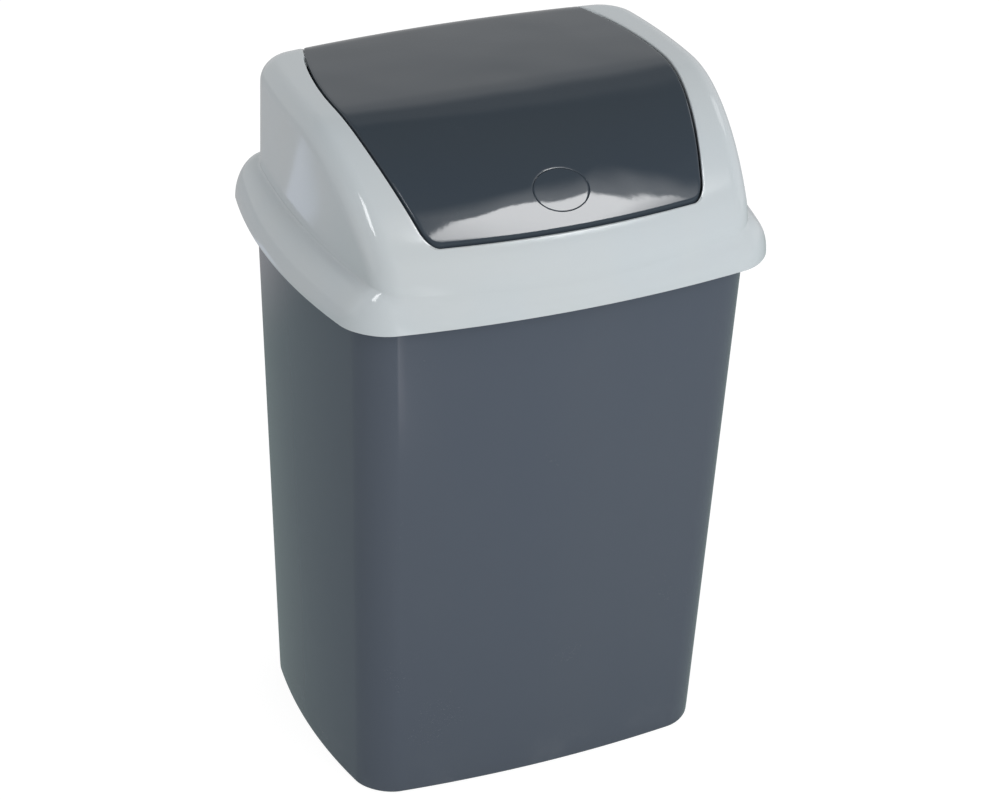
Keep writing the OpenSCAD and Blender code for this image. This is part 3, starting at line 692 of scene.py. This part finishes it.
# lamps stand round the flap's front: azimuth from the front towards the right, elevation, and distance
studio = {
    "floorSize": 8.0, "paper": (0.85, 0.85, 0.85, 1.0), "white": (1.2, 1.2, 1.2, 1.0),
    "floorShare": 0.75, "ambient": 0.65, "aim": (0.0, -0.076, 0.338),
    "nearShine": (0.28, 0.34, 0.33, 1.0), "farShine": (0.5, 0.5, 0.51, 1.0), "shineFade": (0.4, 0.56),
    "card": {"shine": (0.86, 0.92, 1.08, 1.0), "line": 0.4536, "slope": 0.58, "crisp": 0.012,
             "left": (-0.47, -0.39), "front": (0.53, 0.56)},
    "slip": {"shine": (1.5, 1.5, 1.55, 1.0), "left": (-0.062, -0.045), "right": (-0.004, -0.014),
             "front": (-0.395, -0.44)},
    "lamps": {
        "strip": {"azimuth": -58, "elevation": 51.5, "distance": 1.1, "size": (0.14, 0.41), "radiance": 9,
                  "shines": True},
        "sail": {"azimuth": 15, "elevation": 20, "distance": 0.9, "size": (0.68, 0.68), "radiance": 2.7,
                 "shines": False},
    },
}
# the softbox, in the plane that it faces: ahead, right and up are its own directions in the room
softbox = {
    "ahead": (0.3778, -0.4503, 0.8090), "right": (0.7660, 0.6428, 0.0), "up": (-0.5200, 0.6197, 0.5878),
    "rightEdge": 0.181, "rightSpread": 0.25, "rightTurn": -0.08, "top": 0.155, "topSpread": 0.5,
    "topTurn": -0.1, "foot": -0.09, "footSlope": 0.58, "footFade": 0.03, "left": (-0.29, -0.22),
    "front": (0.2, 0.3), "crisp": 0.007, "shine": 13.5, "dimFoot": (-0.2, -0.02, 0.32, 1.0),
    "dimLeft": (-0.3, 0.0, 0.65, 1.0), "spill": 1.9, "spillReach": 0.11, "spillLeft": (-0.25, 0.12, 0.4, 1.0),
}
# a pale window to the right, as bearings from the right and heights on a unit sphere
window = {"side": (0.3, 0.4), "near": (0.03, 0.06), "far": (0.38, 0.34), "low": (0.45, 0.5),
          "high": (0.77, 0.73), "shine": 1.7}
# the backdrop's brightness falls in three steps of height; away is from the bin's front to its back
backdrop = {"wall": (0.2, 0.55, 0.78, 0.62), "ceiling": (0.56, 0.68, 0.0, 0.36),
            "above": (0.75, 0.82, 0.0, 0.19), "away": (-0.35, -0.05), "front": 0.1}


def makeFloor():
    # paper that the camera sees as white with a faint shadow, and the gloss as grey
    material = bpy.data.materials.new("studio_paper")
    material.use_nodes = True
    f = Finish(material.node_tree)
    byCamera, glossy, through = (f.node("ShaderNodeLightPath", out=k) for k in (0, 3, 6))
    seen = (byCamera * studio["floorShare"] + glossy + through).clamped()
    paper = f.node("ShaderNodeBsdfDiffuse", {}, {"Color": studio["paper"]})
    # a white card lies behind the bin, for the lid's left wall, and a slip in front, for the body's corner
    card, slip = studio["card"], studio["slip"]
    where = f.node("ShaderNodeTexCoord", out=3)
    x, y = (f.node("ShaderNodeSeparateXYZ", {}, (where,), out=k) for k in (0, 1))
    onCard = f.ramp(card["line"] - x * card["slope"] - y, 0.0, card["crisp"])
    onCard = onCard * f.ramp(x, *card["left"]) * f.ramp(y, *card["front"])
    shine = f.mixColour(f.ramp(y, *studio["shineFade"]), studio["nearShine"], studio["farShine"])
    onSlip = f.ramp(x, *slip["left"]) * f.ramp(x, *slip["right"]) * f.ramp(y, *slip["front"])
    shine = f.mixColour(onCard, shine, card["shine"])
    shine = f.mixColour(onSlip, shine, slip["shine"])
    shown = f.mixColour(glossy, studio["white"], shine)
    glow = f.node("ShaderNodeEmission", {}, {"Color": shown, "Strength": 1.0})
    mixed = f.node("ShaderNodeMixShader", {}, (seen, paper, glow))
    f.node("ShaderNodeOutputMaterial", {}, {"Surface": mixed})
    half = studio["floorSize"] / 2
    mesh = bpy.data.meshes.new("floor")
    mesh.from_pydata([(-half, -half, 0), (half, -half, 0), (half, half, 0), (-half, half, 0)], [],
                     [(0, 1, 2, 3)])
    mesh.materials.append(material)
    floor = bpy.data.objects.new("floor", mesh)
    bpy.context.scene.collection.objects.link(floor)


def softboxShine(f, where):
    # what the gloss sees of the softbox and of its spill
    s = softbox
    ahead = f.dotted(where, s["ahead"])
    depth = ahead.maximum(0.05)
    u, v = (f.dotted(where, s[k]) / depth for k in ("right", "up"))
    right = s["rightEdge"] + (s["rightTurn"] - v).positive() * s["rightSpread"]
    foot = f.ramp(v - s["foot"] + u * s["footSlope"], 0.0, s["footFade"])
    foot = foot * f.ramp(u, *s["left"]) * f.ramp(ahead, *s["front"])
    top = s["top"] - (s["topTurn"] - u).positive() * s["topSpread"]
    box = f.ramp(right - u, 0.0, s["crisp"]) * f.ramp(top - v, 0.0, s["crisp"])
    bright = f.ramp(v, *s["dimFoot"]) * f.ramp(u, *s["dimLeft"])
    past = (u - right).maximum(v - top)
    spill = f.ramp(past, s["spillReach"], 0.0) * f.ramp(u, *s["spillLeft"]) * s["spill"]
    return foot * (box * bright * s["shine"] + (1 - box) * spill)


def windowShine(f, side, away, up):
    # the window gives the thin highlight on the lid's right arm
    w = window
    bearing = away / side.maximum(0.05)
    across = f.ramp(side, *w["side"]) * f.ramp(bearing, *w["near"]) * f.ramp(bearing, *w["far"])
    return across * f.ramp(up, *w["low"]) * f.ramp(up, *w["high"]) * w["shine"]


def makeAir():
    # white to the camera; the gloss sees a pale backdrop, the softbox, and a darker ceiling and front
    world = bpy.data.worlds.new("studio_air")
    bpy.context.scene.world = world
    world.use_nodes = True
    f = Finish(world.node_tree)
    byCamera, glossy, through = (f.node("ShaderNodeLightPath", out=k) for k in (0, 3, 6))
    where = f.node("ShaderNodeTexCoord", out=0)
    side, away, up = (f.node("ShaderNodeSeparateXYZ", {}, (where,), out=k) for k in range(3))
    b = backdrop
    pale = f.ramp(up, *b["wall"]) - f.ramp(up, *b["ceiling"]) - f.ramp(up, *b["above"])
    room = f.ramp(away, *b["away"])
    shine = pale * room + (1 - room) * b["front"] + softboxShine(f, where) + windowShine(f, side, away, up)
    seen = (byCamera + through).clamped()
    strength = seen + (1 - seen) * (glossy * shine + (1 - glossy) * studio["ambient"])
    air = f.node("ShaderNodeBackground", {}, {"Color": (1, 1, 1, 1), "Strength": strength})
    f.node("ShaderNodeOutputWorld", {}, {"Surface": air})


def makeLamps():
    aim = Vector(studio["aim"])
    for name, spec in studio["lamps"].items():
        a, e = math.radians(spec["azimuth"]), math.radians(spec["elevation"])
        away = Vector((math.sin(a) * math.cos(e), -math.cos(a) * math.cos(e), math.sin(e)))
        lamp = bpy.data.lights.new(name, "AREA")
        lamp.shape = "RECTANGLE"
        lamp.size, lamp.size_y = spec["size"]
        lamp.energy = math.pi * lamp.size * lamp.size_y * spec["radiance"]
        holder = bpy.data.objects.new(name, lamp)
        holder.location = aim + away * spec["distance"]
        holder.rotation_mode = "QUATERNION"
        holder.rotation_quaternion = away.to_track_quat("Z", "Y")
        holder.visible_glossy, holder.visible_diffuse = spec["shines"], not spec["shines"]
        holder.visible_camera = False
        bpy.context.scene.collection.objects.link(holder)


camera = {"azimuth": -25.0401, "elevation": 31.2515, "roll": 1.9663, "distance": 1.7327,
          "target": (0, 0, 0.1488), "lens": 116.902, "sensor": 36.0, "shiftX": 0.01042, "shiftY": 0.05846}


def makeCamera():
    c = camera
    a, e, r = (math.radians(c[k]) for k in ("azimuth", "elevation", "roll"))
    back = Vector((math.sin(a) * math.cos(e), -math.cos(a) * math.cos(e), math.sin(e)))
    right = (-back).cross(Vector((0, 0, 1))).normalized()
    up = right.cross(-back)
    across = right * math.cos(r) + up * math.sin(r)
    upright = up * math.cos(r) - right * math.sin(r)
    data = bpy.data.cameras.new("photo_camera")
    data.lens, data.sensor_width = c["lens"], c["sensor"]
    data.shift_x, data.shift_y = c["shiftX"], c["shiftY"]
    holder = bpy.data.objects.new("photo_camera", data)
    holder.matrix_world = Matrix((across, upright, back)).transposed().to_4x4()
    holder.location = Vector(c["target"]) + back * c["distance"]
    bpy.context.scene.collection.objects.link(holder)
    bpy.context.scene.camera = holder


makeFloor()
makeAir()
makeLamps()
makeCamera()
bpy.context.scene.view_settings.view_transform = "Standard"
print("swing bin: studio and camera made")
